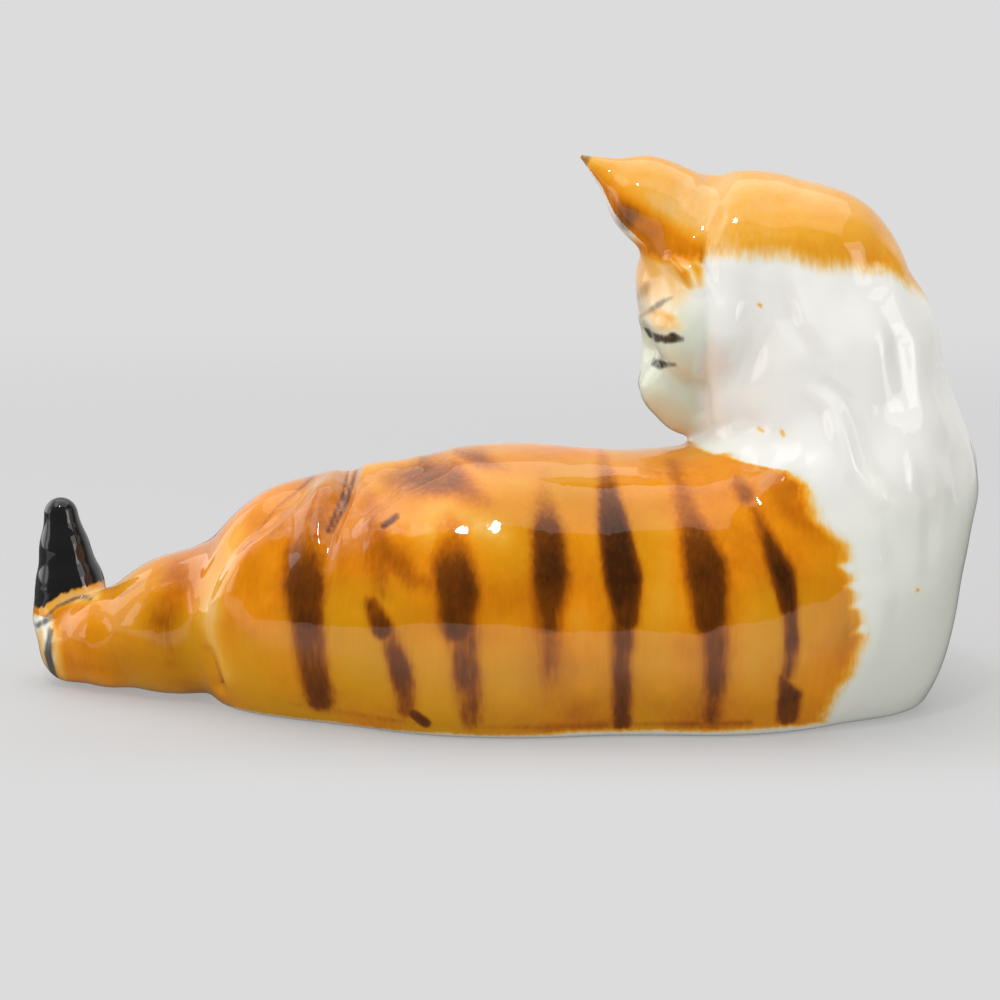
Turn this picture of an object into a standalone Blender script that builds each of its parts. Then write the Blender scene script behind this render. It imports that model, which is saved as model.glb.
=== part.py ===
"""Glazed porcelain figurine of a reclining cat that looks back over its flank.

The figure is slip-cast in separate moulds: a hollow torso, a hollow head and neck, two ears, four legs,
a tail and a flat plate that closes the bottom. Each casting is stuck to its neighbour with a thin layer
of slip, which is a solid of its own here. The whole cat is first shaped as one form in the modelling
frame, then cut at its seams, and last moved so that the middle of its footprint is the origin.
"""
import math

import bmesh
import bpy
from mathutils import Matrix, Vector

MM = 0.001

# Driving dimensions, in millimetres.
WALL = 3.6              # thickness of the hollow castings
GAP = 0.3               # clearance between neighbouring solids
SLIP = 0.8              # thickness of a slip joint
BASE = 3.4              # thickness of the closing plate under the torso
VENT_DIAMETER = 8.0     # hole that lets the air out of the hollow during firing
VENT_AT = (20.0, -2.0)
FORM_VOXEL = 1.5        # fineness of the outer form
CORE_VOXEL = 2.4        # fineness of the hollow
CUP_VOXEL = 1.0         # fineness of the ears' cups
FORM_SMOOTHING = 9      # smoothing rounds, which soften the creases between the solids
CORE_SMOOTHING = 6
CUP_SMOOTHING = 2
FORM_KEEP = 0.075       # share of the faces kept after smoothing
CORE_KEEP = 0.06
CUP_KEEP = 0.15
BIG = 300.0             # larger than the whole figure
WELD = 0.001            # corners closer than this are one

# The head's own axes: it looks back along the body, bowed down, with its left side rolled upwards.
HEAD_CENTRE = Vector((54.5, 14.0, 100.0))
HEAD_RADIUS = 24.0
HEAD_YAW = 14.0
HEAD_PITCH = 42.0
HEAD_ROLL = 25.0
EAR_LENGTH = 27.0
EAR_ROOT_RADIUS = 12.5
EAR_TIP_RADIUS = 1.6
EAR_SEAM = 27.5         # distance of an ear's seam from the middle of the head

# Seams: a point on each cutting plane and the plane's normal, which points into the smaller casting.
NECK_SEAM = (Vector((75.0, 5.0, 68.0)), Vector((0.0, 0.39, 0.92)))
TAIL_SEAM = (Vector((-75.0, 16.0, 15.0)), Vector((-0.96, 0.144, -0.24)))
LEG_SEAM = (Vector((20.0, 44.0, 20.0)), Vector((0.0, 1.0, 0.0)))

ORANGE = (0.62, 0.27, 0.05)
WHITE = (0.86, 0.86, 0.82)
BLACK = (0.03, 0.025, 0.02)
BISCUIT = (0.80, 0.76, 0.68)
SLIP_WHITE = (0.84, 0.82, 0.76)


# ---------------------------------------------------------------- helpers

def clear_scene():
    for old in list(bpy.data.objects):
        bpy.data.objects.remove(old, do_unlink=True)


def new_collection(name):
    collection = bpy.data.collections.new(name)
    bpy.context.scene.collection.children.link(collection)
    return collection


def glaze(name, colour, roughness=0.12):
    material = bpy.data.materials.new(name)
    material.use_nodes = True
    shader = material.node_tree.nodes["Principled BSDF"]
    shader.inputs["Base Color"].default_value = (*colour, 1.0)
    shader.inputs["Roughness"].default_value = roughness
    shader.inputs["Metallic"].default_value = 0.0
    return material


def object_from_bmesh(name, bm, collection):
    mesh = bpy.data.meshes.new(name)
    bm.to_mesh(mesh)
    bm.free()
    thing = bpy.data.objects.new(name, mesh)
    collection.objects.link(thing)
    return thing


def evaluated_copy(name, source, collection):
    """A new object that holds the source's mesh with its modifiers applied."""
    bpy.context.view_layer.update()
    graph = bpy.context.evaluated_depsgraph_get()
    mesh = bpy.data.meshes.new_from_object(source.evaluated_get(graph))
    copy = bpy.data.objects.new(name, mesh)
    collection.objects.link(copy)
    return copy


def weld(mesh):
    """Join corners that nearly coincide after a cut, so that the next cut meets a clean solid."""
    bm = bmesh.new()
    bm.from_mesh(mesh)
    bmesh.ops.remove_doubles(bm, verts=bm.verts, dist=WELD * MM)
    bmesh.ops.dissolve_degenerate(bm, edges=bm.edges, dist=WELD * MM)
    bmesh.ops.triangulate(bm, faces=bm.faces)
    bm.to_mesh(mesh)
    bm.free()


def boolean(name, target, cutter, operation, collection):
    """Target INTERSECT or DIFFERENCE cutter, as a new object."""
    cut = target.modifiers.new("cut", "BOOLEAN")
    cut.operation = operation
    cut.object = cutter
    cut.solver = "EXACT"
    result = evaluated_copy(name, target, collection)
    target.modifiers.remove(cut)
    weld(result.data)
    return result


def discard(*things):
    for thing in things:
        bpy.data.objects.remove(thing, do_unlink=True)


def axis_frame(point, normal):
    """A matrix whose local Z is the normal and whose origin is the point, in metres."""
    turn = normal.normalized().to_track_quat("Z", "Y").to_matrix().to_4x4()
    return Matrix.Translation(point * MM) @ turn


def slab(name, seam, start, thickness, collection, half_width=BIG):
    """A box on a seam plane that runs from start to start + thickness along its normal."""
    point, normal = seam
    bm = bmesh.new()
    bmesh.ops.create_cube(bm, size=1.0)
    size = Matrix.Diagonal((2 * half_width * MM, 2 * half_width * MM, thickness * MM, 1.0))
    lift = Matrix.Translation((0.0, 0.0, (start + thickness / 2) * MM))
    bmesh.ops.transform(bm, matrix=axis_frame(point, normal) @ lift @ size, verts=bm.verts)
    box = object_from_bmesh(name, bm, collection)
    box.hide_render = True
    box.display_type = "WIRE"
    return box


# ---------------------------------------------------------------- the form

def head_axes():
    """Unit vectors of the head: forwards along the nose, to its left, and up through its crown."""
    yaw, pitch, roll = (math.radians(a) for a in (HEAD_YAW, HEAD_PITCH, HEAD_ROLL))
    forward = Vector((-math.cos(pitch) * math.cos(yaw), math.cos(pitch) * math.sin(yaw), -math.sin(pitch)))
    level_left = Vector((-math.sin(yaw), -math.cos(yaw), 0.0))
    level_up = forward.cross(level_left)
    left = math.cos(roll) * level_left + math.sin(roll) * level_up
    up = math.cos(roll) * level_up - math.sin(roll) * level_left
    return forward, left, up


def head_direction(forward, left, up):
    axes = head_axes()
    return forward * axes[0] + left * axes[1] + up * axes[2]


def head_point(forward, left, up):
    """A point given in head radii along the head's own axes."""
    return HEAD_CENTRE + HEAD_RADIUS * head_direction(forward, left, up)


def head_turn():
    return Matrix(head_axes()).transposed()


def add_ellipsoid(bm, centre, radii, turn=None, inset=0.0):
    turn = turn if turn is not None else Matrix.Identity(3)
    size = Matrix.Diagonal([(r - inset) * MM for r in radii])
    matrix = Matrix.Translation(Vector(centre) * MM) @ (turn @ size).to_4x4()
    bmesh.ops.create_icosphere(bm, subdivisions=4, radius=1.0, matrix=matrix)


def add_limb(bm, points, radii, inset=0.0):
    """Balls on the points, joined by tapered rods."""
    points = [Vector(p) for p in points]
    for point, radius in zip(points, radii):
        add_ellipsoid(bm, point, (radius,) * 3, inset=inset)
    for i in range(len(points) - 1):
        start, end = points[i], points[i + 1]
        matrix = axis_frame((start + end) / 2, end - start)
        bmesh.ops.create_cone(
            bm, cap_ends=True, segments=40, radius1=(radii[i] - inset) * MM,
            radius2=(radii[i + 1] - inset) * MM, depth=(end - start).length * MM, matrix=matrix)


def add_trunk(bm, inset=0.0):
    """Torso, chest, neck and the round of the skull: what the hollow follows."""
    tilt = Matrix.Rotation(math.radians(6.0), 3, "Y")
    add_ellipsoid(bm, (2, 2, 21), (60, 38.5, 41.5), inset=inset)
    add_ellipsoid(bm, (46, 2, 22), (50, 37.5, 40), inset=inset)
    add_ellipsoid(bm, (-42, 9, 19), (34, 29, 35), tilt, inset=inset)
    add_ellipsoid(bm, (78, 7, 39), (31.5, 34, 41), inset=inset)
    add_ellipsoid(bm, (84, 8, 16), (19.5, 24, 26), inset=inset)
    add_limb(bm, [(83.5, 6, 56), (76, 8, 84), (70.5, 11, 100)], [25.5, 23.5, 22.8], inset=inset)
    add_ellipsoid(bm, head_point(-0.05, 0, 0.05), [r * HEAD_RADIUS for r in (1.06, 1.0, 0.95)],
                  head_turn(), inset=inset)


def add_face(bm):
    turn = head_turn()
    for side in (-1, 1):
        add_ellipsoid(bm, head_point(0.45, 0.48 * side, -0.42), (12.0, 11.5, 11.0), turn)   # cheek
        add_ellipsoid(bm, head_point(1.1, 0.2 * side, -0.49), (7.7, 7.2, 6.5), turn)        # whisker pad
    add_limb(bm, [head_point(0.6, 0, 0.22), head_point(1.25, 0, -0.26)], [7.7, 4.3])        # bridge of the nose
    add_ellipsoid(bm, head_point(1.1, 0, -0.68), (7.6, 7.4, 7.0), turn)                     # chin
    add_ellipsoid(bm, (60, 13, 62), (13, 13, 8))                                            # ruff under the chin
    add_ellipsoid(bm, (58.5, 4, 75), (12.5, 13, 13))                                        # ruff beside the chin


def ear_axis(side):
    return head_direction(0.25, 0.66 * side, 0.74).normalized()


def add_ear(bm, side):
    axis = ear_axis(side)
    root = head_point(-0.02, 0.56 * side, 0.62)
    add_limb(bm, [root, root + axis * EAR_LENGTH], [EAR_ROOT_RADIUS, EAR_TIP_RADIUS])


def add_ear_hollow(bm, side):
    """The open cup on the front of an ear."""
    axis = ear_axis(side)
    front = head_direction(0.8, -0.25 * side, 0.3)
    front = (front - front.dot(axis) * axis).normalized()
    root = head_point(-0.02, 0.56 * side, 0.62)
    add_limb(bm, [root + front * 9.5 + axis * 9.0, root + front * 4.5 + axis * EAR_LENGTH], [8.0, 1.2])


def add_tail(bm):
    points = [(-60, 14, 20), (-80, 16, 15.5), (-96, 19, 11.5), (-105.5, 23, 9.2),
              (-108.4, 27.5, 15.5), (-108.6, 28, 23.6), (-109.6, 28, 32.2), (-110.4, 28.5, 41)]
    add_limb(bm, points, [21, 17, 12, 9.4, 8.7, 7.8, 5.6, 4.1])


def add_legs(bm):
    lean = Matrix.Rotation(math.radians(15.0), 3, "Y")
    add_ellipsoid(bm, (-28, 25, 27), (27, 17, 24), lean)                                                # thigh
    add_limb(bm, [(-6, 40, 22), (-24, 52, 9), (-4, 60, 7), (4, 61, 6.5)], [12, 8, 6.5, 7.5])            # left hind
    add_limb(bm, [(-50, 34, 12), (-57, 46, 8), (-50, 62, 6.5), (-41, 65, 6.5)], [12, 8, 6.3, 7])        # right hind
    add_limb(bm, [(76, 25, 34), (70, 44, 16), (50, 60, 7), (42, 62, 6.5)], [16.5, 9.5, 6.8, 7.8])       # left fore
    add_limb(bm, [(94, 24, 22), (97, 44, 14), (87, 61, 6.5), (79, 65, 6.5)], [13.5, 8.5, 6.5, 7.5])     # right fore


def fuse(name, bm, voxel, smoothing, ratio, collection):
    """One smooth closed skin round everything in the bmesh."""
    rough = object_from_bmesh(name + "_rough", bm, collection)
    remesh = rough.modifiers.new("fuse", "REMESH")
    remesh.mode = "VOXEL"
    remesh.voxel_size = voxel * MM
    smooth = rough.modifiers.new("soften", "SMOOTH")
    smooth.factor = 0.5
    smooth.iterations = smoothing
    fewer = rough.modifiers.new("fewer", "DECIMATE")
    fewer.ratio = ratio
    skin = evaluated_copy(name, rough, collection)
    discard(rough)
    return skin


def outer_form(work):
    bm = bmesh.new()
    add_trunk(bm)
    add_face(bm)
    add_tail(bm)
    add_legs(bm)
    for side in (1, -1):
        add_ear(bm, side)
    whole = fuse("form", bm, FORM_VOXEL, FORM_SMOOTHING, FORM_KEEP, work)
    bm = bmesh.new()
    for side in (1, -1):
        add_ear_hollow(bm, side)
    cups = fuse("ear_cups", bm, CUP_VOXEL, CUP_SMOOTHING, CUP_KEEP, work)
    eared = boolean("eared_form", whole, cups, "DIFFERENCE", work)
    above_ground = slab("above_ground", (Vector((0, 0, 0)), Vector((0, 0, 1))), 0.0, BIG, work)
    cat = boolean("cat_form", eared, above_ground, "INTERSECT", work)
    discard(whole, cups, eared, above_ground)
    return cat


def hollow_core(work):
    bm = bmesh.new()
    add_trunk(bm, inset=WALL)
    return fuse("core", bm, CORE_VOXEL, CORE_SMOOTHING, CORE_KEEP, work)


# ---------------------------------------------------------------- cutting at the seams

def islands(name, source, collection):
    """The separate bodies of an object, as objects, from low x to high x."""
    bm = bmesh.new()
    bm.from_mesh(source.data)
    groups = []
    unseen = set(bm.verts)
    while unseen:
        frontier = [unseen.pop()]
        group = set(frontier)
        while frontier:
            vertex = frontier.pop()
            for edge in vertex.link_edges:
                other = edge.other_vert(vertex)
                if other in unseen:
                    unseen.remove(other)
                    group.add(other)
                    frontier.append(other)
        groups.append(sorted(v.index for v in group))
    bm.free()
    groups.sort(key=lambda g: sum(source.data.vertices[i].co.x for i in g) / len(g))
    bodies = []
    for count, group in enumerate(groups):
        keep = set(group)
        part = bmesh.new()
        part.from_mesh(source.data)
        part.verts.ensure_lookup_table()
        bmesh.ops.delete(part, geom=[v for v in part.verts if v.index not in keep], context="VERTS")
        bodies.append(object_from_bmesh(f"{name}_{count}", part, collection))
    return bodies


def split(source, seam, work, half_width=BIG, shift=Vector((0, 0, 0))):
    """Cut a source at a seam: what lies beyond it, the slip joint, and what stays."""
    seam = (seam[0] + shift, seam[1])
    beyond = slab("beyond", seam, SLIP / 2 + GAP, BIG, work, half_width)
    layer = slab("layer", seam, -SLIP / 2, SLIP, work, half_width)
    removed = slab("removed", seam, -SLIP / 2 - GAP, BIG, work, half_width)
    piece = boolean("piece", source, beyond, "INTERSECT", work)
    joint = boolean("joint", source, layer, "INTERSECT", work)
    rest = boolean("rest", source, removed, "DIFFERENCE", work)
    discard(beyond, layer, removed, source)
    return piece, joint, rest


def finish_part(thing, name, material, parts):
    """Name a casting, give it its material and put it in the figurine's collection."""
    thing.name = name
    thing.data.name = name
    thing.data.materials.clear()
    thing.data.materials.append(material)
    thing.data.shade_smooth()
    thing.data.set_sharp_from_angle(angle=math.radians(50.0))
    for collection in list(thing.users_collection):
        collection.objects.unlink(thing)
    parts.objects.link(thing)
    return thing


def base_with_vent(plate, work):
    bm = bmesh.new()
    place = Matrix.Translation((VENT_AT[0] * MM, VENT_AT[1] * MM, BASE / 2 * MM))
    radius = VENT_DIAMETER / 2 * MM
    bmesh.ops.create_cone(bm, cap_ends=True, segments=32, radius1=radius, radius2=radius,
                          depth=3 * BASE * MM, matrix=place)
    drill = object_from_bmesh("vent", bm, work)
    vented = boolean("vented", plate, drill, "DIFFERENCE", work)
    discard(drill, plate)
    return vented


def centre_on_footprint(parts):
    """Move everything so that the middle of the figure's box stands on the origin."""
    corners = [v.co for thing in parts.objects for v in thing.data.vertices]
    low = Vector([min(c[i] for c in corners) for i in range(3)])
    high = Vector([max(c[i] for c in corners) for i in range(3)])
    shift = Vector((-(low.x + high.x) / 2, -(low.y + high.y) / 2, -low.z))
    for thing in parts.objects:
        thing.data.transform(Matrix.Translation(shift))
    print("shift", [round(value / MM, 3) for value in shift], "size", [round(v / MM, 2) for v in high - low])


def build():
    clear_scene()
    parts = new_collection("cat_figurine")
    work = new_collection("cutters")
    cat = outer_form(work)
    core = hollow_core(work)
    orange = glaze("orange_glaze", ORANGE)
    white = glaze("white_glaze", WHITE)
    black = glaze("tail_glaze", BLACK)
    biscuit = glaze("biscuit", BISCUIT, 0.8)
    slip = glaze("slip", SLIP_WHITE, 0.6)

    for side, name in ((1, "left_ear"), (-1, "right_ear")):
        seam = (HEAD_CENTRE + ear_axis(side) * EAR_SEAM, ear_axis(side))
        centre = head_point(-0.02, 0.56 * side, 0.62)
        off = centre - HEAD_CENTRE
        sideways = off - off.dot(ear_axis(side)) * ear_axis(side)
        ear, joint, cat = split(cat, seam, work, 16.0, sideways)
        finish_part(ear, name, orange, parts)
        finish_part(joint, name + "_slip_joint", slip, parts)

    head, joint, cat = split(cat, NECK_SEAM, work)
    head_hollow = boolean("head_hollow", head, core, "DIFFERENCE", work)
    neck_ring = boolean("neck_ring", joint, core, "DIFFERENCE", work)
    finish_part(head_hollow, "head_shell", white, parts)
    finish_part(neck_ring, "neck_slip_joint", slip, parts)
    discard(head, joint)

    tail, joint, cat = split(cat, TAIL_SEAM, work)
    finish_part(tail, "tail", black, parts)
    finish_part(joint, "tail_slip_joint", slip, parts)

    legs, joints, cat = split(cat, LEG_SEAM, work)
    names = ("right_hind_leg", "left_hind_leg", "left_foreleg", "right_foreleg")
    for name, leg in zip(names, islands("leg", legs, work), strict=True):
        finish_part(leg, name, white, parts)
    for name, joint in zip(names, islands("joint", joints, work), strict=True):
        finish_part(joint, name + "_slip_joint", slip, parts)
    discard(legs, joints)

    base_seam = (Vector((0, 0, BASE + GAP + SLIP / 2)), Vector((0, 0, 1)))
    torso, joint, plate = split(cat, base_seam, work)
    shell = boolean("shell", torso, core, "DIFFERENCE", work)
    ring = boolean("ring", joint, core, "DIFFERENCE", work)
    finish_part(shell, "torso_shell", orange, parts)
    finish_part(ring, "base_slip_joint", slip, parts)
    finish_part(base_with_vent(plate, work), "base_plate", biscuit, parts)
    discard(torso, joint, core)

    centre_on_footprint(parts)


build()
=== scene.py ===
"""Looks of the reclining porcelain cat: sculpted form, painted decoration, clear glaze and studio.

The cat is sculpted as one smooth form in its modelling frame, in millimetres. Each casting and each slip
joint is then cut out of that form at the same seams as the CAD solids, and replaces its own CAD node.
The cut faces meet exactly and carry the uncut form's normals, so the glaze runs over the seams unbroken.
"""
import math

import bmesh
import bpy
import numpy as np
import openvdb
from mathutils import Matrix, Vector


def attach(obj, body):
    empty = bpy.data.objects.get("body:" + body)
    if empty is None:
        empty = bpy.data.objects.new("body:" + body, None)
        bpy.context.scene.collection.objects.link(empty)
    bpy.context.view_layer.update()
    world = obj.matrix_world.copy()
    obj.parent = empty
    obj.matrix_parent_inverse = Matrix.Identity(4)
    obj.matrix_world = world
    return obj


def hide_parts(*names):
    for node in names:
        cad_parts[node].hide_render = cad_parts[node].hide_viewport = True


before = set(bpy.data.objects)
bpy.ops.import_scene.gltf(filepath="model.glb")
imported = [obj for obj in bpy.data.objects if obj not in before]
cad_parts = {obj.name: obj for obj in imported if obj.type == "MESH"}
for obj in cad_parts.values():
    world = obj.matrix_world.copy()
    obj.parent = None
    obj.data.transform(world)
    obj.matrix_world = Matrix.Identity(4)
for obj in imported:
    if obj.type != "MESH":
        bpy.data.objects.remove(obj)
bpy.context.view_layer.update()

MM = 0.001

# Where the modelling frame's origin lies in the row's frame, in millimetres.
FRAME_SHIFT = np.array([3.76, -17.86, 0.0])

# Seams, as in the CAD model.
GAP = 0.3
SLIP = 0.8
BASE = 3.4
VENT_AT = (20.0, -2.0)
VENT_DIAMETER = 8.0
EAR_SEAM = 27.5
NECK_SEAM = ((75.0, 5.0, 68.0), (0.0, 0.39, 0.92))
TAIL_SEAM = ((-75.0, 16.0, 15.0), (-0.96, 0.144, -0.24))
LEG_SEAM = ((20.0, 44.0, 20.0), (0.0, 1.0, 0.0))
BASE_SEAM = ((0.0, 0.0, BASE + GAP + SLIP / 2), (0.0, 0.0, 1.0))

FLOOR_ROUNDING = 2.0    # radius of the edge round the flat underside
FAR = 12.0              # distance given to points that no solid is near
FLAT_STRETCH = 0.4      # how far a flat rod's distances are stretched back towards true ones

COARSE_STEP = 0.6
MEDIUM_STEP = 0.5
FINE_STEP = 0.4


# ---------------------------------------------------------------- solids and their smooth union

def unit(vector):
    vector = np.asarray(vector, float)
    return vector / np.linalg.norm(vector)


def turned(x=0.0, y=0.0, z=0.0):
    """Rows are a solid's own axes after turns about X, Y and Z, in degrees."""
    x, y, z = np.radians([x, y, z])
    about_x = np.array([[1, 0, 0], [0, np.cos(x), -np.sin(x)], [0, np.sin(x), np.cos(x)]])
    about_y = np.array([[np.cos(y), 0, np.sin(y)], [0, 1, 0], [-np.sin(y), 0, np.cos(y)]])
    about_z = np.array([[np.cos(z), -np.sin(z), 0], [np.sin(z), np.cos(z), 0], [0, 0, 1]])
    return (about_z @ about_y @ about_x).T


class Ellipsoid:
    """A solid ellipsoid. Blend is the width over which it melts into what is there before it."""

    def __init__(self, centre, radii, blend, axes=None, sign=1):
        self.centre = np.array(centre, float)
        self.radii = np.array(radii, float)
        self.axes = np.eye(3) if axes is None else np.array(axes, float)
        self.blend = blend
        self.sign = sign

    def box(self):
        reach = np.sqrt(((self.axes.T * self.radii) ** 2).sum(1))
        return self.centre - reach, self.centre + reach

    def distance(self, points):
        local = (points - self.centre) @ self.axes.T
        near = np.sqrt(((local / self.radii) ** 2).sum(-1))
        slope = np.sqrt(((local / self.radii ** 2) ** 2).sum(-1))
        return near * (near - 1) / np.maximum(slope, 1e-9)


class Rod:
    """A rod from one point to another that tapers evenly, with round ends.

    Flat is a direction and a factor below 1: the rod is that much thinner along that direction.
    """

    def __init__(self, start, end, radii, blend, sign=1, flat=None):
        self.start = np.array(start, float)
        self.end = np.array(end, float)
        self.radii = radii
        self.blend = blend
        self.sign = sign
        self.flat = flat

    def box(self):
        reach = max(self.radii)
        return np.minimum(self.start, self.end) - reach, np.maximum(self.start, self.end) + reach

    def distance(self, points):
        along = self.end - self.start
        t = np.clip(((points - self.start) @ along) / (along @ along), 0, 1)
        away = points - (self.start + t[..., None] * along)
        if self.flat is None:
            return np.sqrt((away ** 2).sum(-1)) - (self.radii[0] + (self.radii[1] - self.radii[0]) * t)
        direction, factor = self.flat
        across = away @ direction
        away = away + across[..., None] * (1 / factor - 1) * direction
        near = np.sqrt((away ** 2).sum(-1)) - (self.radii[0] + (self.radii[1] - self.radii[0]) * t)
        return near * (factor + (1 - factor) * FLAT_STRETCH)


def limb(points, radii, blend, sign=1):
    """Rods end to end."""
    return [Rod(points[i], points[i + 1], radii[i:i + 2], blend, sign) for i in range(len(points) - 1)]


def smooth_min(a, b, width):
    share = np.clip(0.5 + 0.5 * (b - a) / width, 0, 1)
    return b * (1 - share) + a * share - width * share * (1 - share)


def smooth_max(a, b, width):
    return -smooth_min(-a, -b, width)


def add_solid(field, solid, distance):
    if solid.sign > 0:
        return smooth_min(field, distance, solid.blend)
    return smooth_max(field, -distance, solid.blend)


def form_grid(solids, low, high, step):
    """The form's distance on a grid: negative inside, positive outside."""
    low = np.array(low, float)
    counts = np.ceil((np.array(high, float) - low) / step).astype(int) + 1
    field = np.full(counts, FAR, np.float32)
    for solid in solids:
        box_low, box_high = solid.box()
        margin = solid.blend + 2 * step + 4
        first = np.clip(np.floor((box_low - margin - low) / step).astype(int), 0, counts - 1)
        last = np.clip(np.ceil((box_high + margin - low) / step).astype(int) + 1, 1, counts)
        if (last <= first).any():
            continue
        axes = [(low[i] + step * np.arange(first[i], last[i])).astype(np.float32) for i in range(3)]
        points = np.stack(np.meshgrid(*axes, indexing="ij"), -1)
        part = tuple(slice(first[i], last[i]) for i in range(3))
        field[part] = add_solid(field[part], solid, solid.distance(points))
    heights = (low[2] + step * np.arange(counts[2])).astype(np.float32)
    below_ground = np.broadcast_to(-heights[None, None, :], field.shape)
    return smooth_max(field, below_ground, FLOOR_ROUNDING)


# ---------------------------------------------------------------- the cat

HEAD_CENTRE = np.array([54.5, 14.0, 100.0])
HEAD_RADIUS = 24.0
HEAD_YAW = 14.0
HEAD_PITCH = 42.0
HEAD_ROLL = 25.0


def head_axes():
    """Unit vectors of the head: forwards along the nose, to its left, and up through its crown."""
    yaw, pitch, roll = np.radians([HEAD_YAW, HEAD_PITCH, HEAD_ROLL])
    forward = np.array([-np.cos(pitch) * np.cos(yaw), np.cos(pitch) * np.sin(yaw), -np.sin(pitch)])
    level_left = np.array([-np.sin(yaw), -np.cos(yaw), 0.0])
    level_up = np.cross(forward, level_left)
    left = np.cos(roll) * level_left + np.sin(roll) * level_up
    up = np.cos(roll) * level_up - np.sin(roll) * level_left
    return np.array([forward, left, up])


HEAD_AXES = head_axes()


def head_point(forward, left, up):
    """A point given in head radii along the head's own axes."""
    return HEAD_CENTRE + HEAD_RADIUS * (np.array([forward, left, up]) @ HEAD_AXES)


def head_direction(forward, left, up):
    return unit(np.array([forward, left, up]) @ HEAD_AXES)


def torso():
    return [
        Ellipsoid((2, 2, 21), (60, 39, 41.5), 8),
        Ellipsoid((46, 2, 22), (50, 38, 40), 8),
        Ellipsoid((-42, 9, 19), (34, 29, 35), 10, turned(y=6)),
        Ellipsoid((78, 7, 39), (31, 34, 41), 12),
        Ellipsoid((84, 8, 16), (19, 24, 26), 10),
    ]


def neck():
    return [
        Rod((83.5, 6, 56), (76, 8, 84), (25, 23), 12),
        Rod((76, 8, 84), (70.5, 11, 100), (23, 22.5), 8),
        Ellipsoid((60, 13, 62), (13, 13, 8), 6),
        Ellipsoid((58.5, 4, 75), (12.5, 13, 13), 4),
    ]


def head():
    solids = [Ellipsoid(head_point(-0.05, 0, 0.05), np.array([1.06, 1.0, 0.95]) * HEAD_RADIUS, 6, HEAD_AXES)]
    for side in (-1, 1):
        cheek = head_point(0.45, 0.48 * side, -0.42)
        pad = head_point(1.10, 0.2 * side, -0.49)
        solids.append(Ellipsoid(cheek, (12.0, 11.5, 11.0), 6, HEAD_AXES))
        solids.append(Ellipsoid(pad, (7.7, 7.2, 6.5), 4, HEAD_AXES))
    solids.append(Rod(head_point(0.6, 0, 0.22), head_point(1.25, 0, -0.26), (7.7, 4.0), 5))
    solids.append(Ellipsoid(head_point(1.10, 0, -0.68), (7.6, 7.4, 7.0), 4, HEAD_AXES))
    return solids


def ear_axis(side):
    return head_direction(0.25, 0.66 * side, 0.74)


EAR_MIDDLE = 8.0
EAR_LENGTH = 27.4
EAR_HALF_WIDTHS = (14.0, 11.8, 0.9)
HOLLOW_RADII = (8.0, 1.2)
HOLLOW_DEPTH = (9.5, 4.5)    # how far in front of the ear's middle its hollow's two ends lie
HOLLOW_START = 9.0
EAR_BOX_MIDDLE = 20.0
EAR_BOX_HALF = 19.0


def ear_front(side):
    """The direction an ear's hollow face looks in."""
    axis = ear_axis(side)
    front = head_direction(0.8, -0.25 * side, 0.3)
    return unit(front - (front @ axis) * axis)


def ear_root(side):
    return head_point(-0.02, 0.56 * side, 0.62)


def ears():
    """Each ear is a broad flattened blade, hollowed on its front face."""
    solids = []
    for side in (1, -1):
        axis = ear_axis(side)
        front = ear_front(side)
        root = ear_root(side)
        tip = root + EAR_LENGTH * axis
        middle = root + EAR_MIDDLE * axis
        solids.append(Rod(root, middle, EAR_HALF_WIDTHS[:2], 4, 1, (front, 0.75)))
        solids.append(Rod(middle, tip, EAR_HALF_WIDTHS[1:], 2, 1, (front, 0.75)))
        low_end = root + HOLLOW_DEPTH[0] * front + HOLLOW_START * axis
        high_end = tip + HOLLOW_DEPTH[1] * front
        solids.append(Rod(low_end, high_end, HOLLOW_RADII, 1.5, -1, (front, 0.8)))
    return solids


def tail():
    points = [(-60, 14, 20), (-80, 16, 15.5), (-96, 19, 11.5), (-105.5, 23, 9.2),
              (-108.4, 27.5, 15.5), (-108.6, 28, 23.6), (-109.6, 28, 32.2), (-110.4, 28.5, 41)]
    return limb(points, [21, 17, 12, 9.4, 8.7, 7.8, 5.6, 4.1], 3)


def legs():
    solids = [Ellipsoid((-28, 25, 27), (27, 17, 24), 6, turned(y=15))]
    solids += limb([(-6, 40, 22), (-24, 52, 9), (-4, 60, 7), (4, 61, 6.5)], [12, 8, 6.5, 7.5], 4)
    solids += limb([(-50, 34, 12), (-57, 46, 8), (-50, 62, 6.5), (-41, 65, 6.5)], [12, 8, 6.3, 7], 4)
    solids += limb([(76, 25, 34), (70, 44, 16), (50, 60, 7), (42, 62, 6.5)], [16.5, 9.5, 6.8, 7.8], 5)
    solids += limb([(94, 24, 22), (97, 44, 14), (87, 61, 6.5), (79, 65, 6.5)], [13.5, 8.5, 6.5, 7.5], 5)
    return solids


def vent():
    """The hole in the base that lets hot air out in the kiln."""
    return [Rod((*VENT_AT, -8), (*VENT_AT, 7), (VENT_DIAMETER / 2, VENT_DIAMETER / 2), 0.3, -1)]


CAT = torso() + neck() + head() + tail() + ears() + legs() + vent()


# ---------------------------------------------------------------- strokes and noise

def smooth_step(value, low, high):
    """0 below low, 1 above high and a soft rise between."""
    t = np.clip((value - low) / (high - low), 0, 1)
    return t * t * (3 - 2 * t)


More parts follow.
